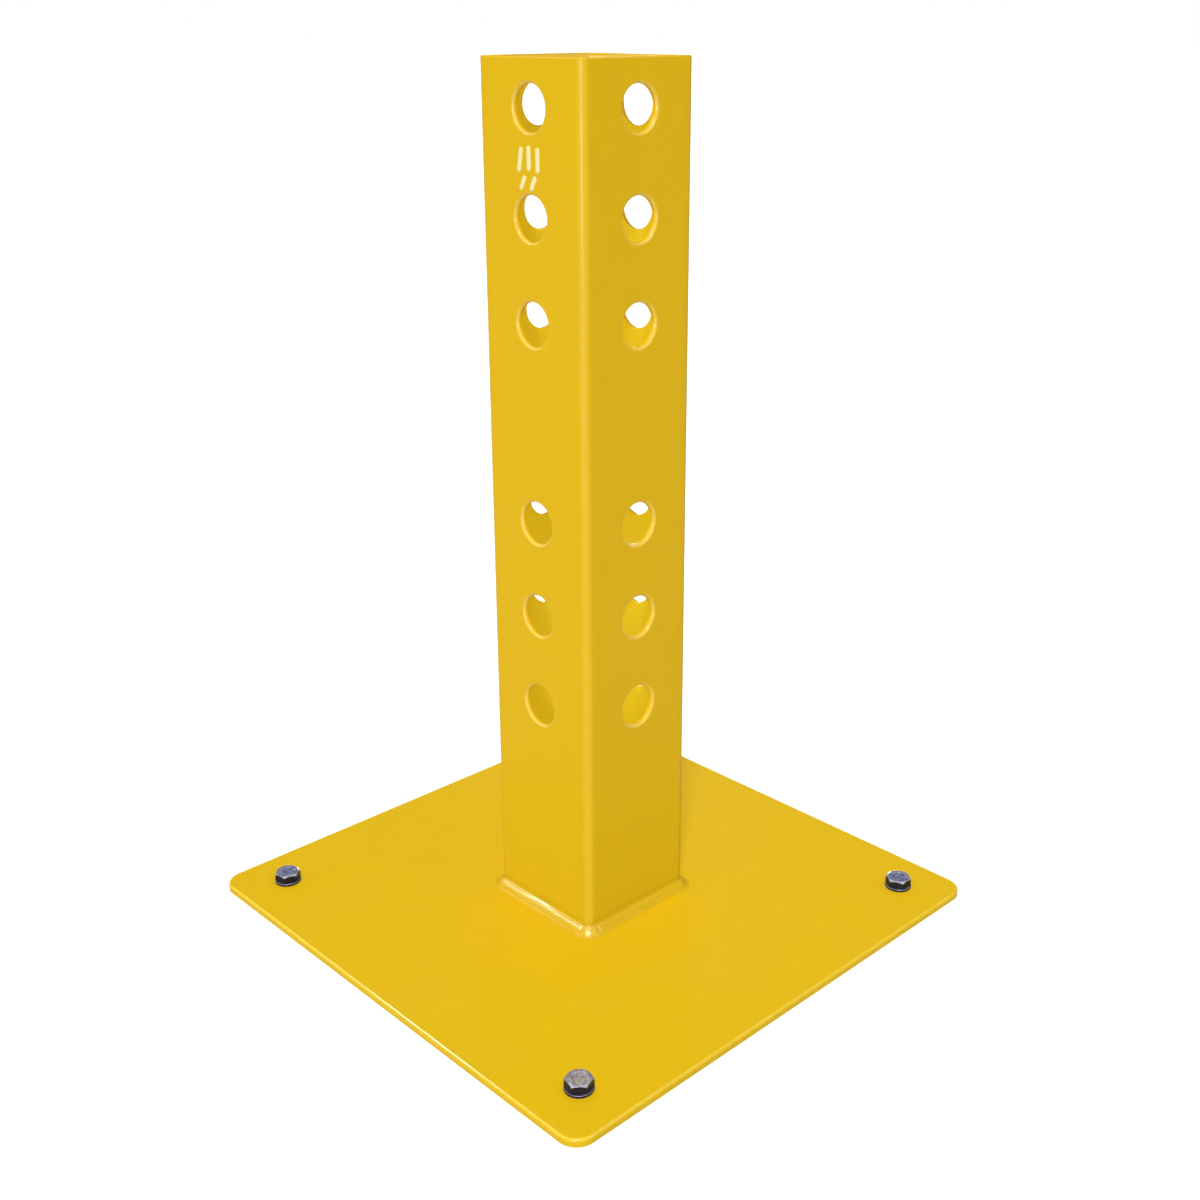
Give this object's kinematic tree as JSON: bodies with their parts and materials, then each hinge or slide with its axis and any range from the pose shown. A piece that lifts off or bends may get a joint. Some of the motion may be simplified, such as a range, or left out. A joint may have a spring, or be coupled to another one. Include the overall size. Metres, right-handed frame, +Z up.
{
  "type": "steel safety bollard",
  "caption": "Square tube bollard on a square base plate, drilled through for rails and held down by corner anchor bolts.",
  "frame": {"origin": "centre of the base plate's underside, on the floor", "axes": "+Z up the post, X and Y square to the post's faces, front is -Y"},
  "size_m": [0.41, 0.41, 0.62],
  "materials": {
    "yellow_coat": "satin powder coat",
    "zinc_plate": "bright zinc plate"
  },
  "bodies": {
    "root": {"post_tube": "yellow_coat", "base_plate": "yellow_coat", "top_cap": "yellow_coat", "cap_weld": "yellow_coat", "foot_weld_front": "yellow_coat", "foot_weld_right": "yellow_coat", "foot_weld_back": "yellow_coat", "foot_weld_left": "yellow_coat", "bolt_front_left": "zinc_plate", "bolt_front_right": "zinc_plate", "bolt_back_right": "zinc_plate", "bolt_back_left": "zinc_plate", "washer_front_left": "zinc_plate", "washer_front_right": "zinc_plate", "washer_back_right": "zinc_plate", "washer_back_left": "zinc_plate", "sleeve_front_left": "zinc_plate", "sleeve_front_right": "zinc_plate", "sleeve_back_right": "zinc_plate", "sleeve_back_left": "zinc_plate"}
  },
  "joints": []
}
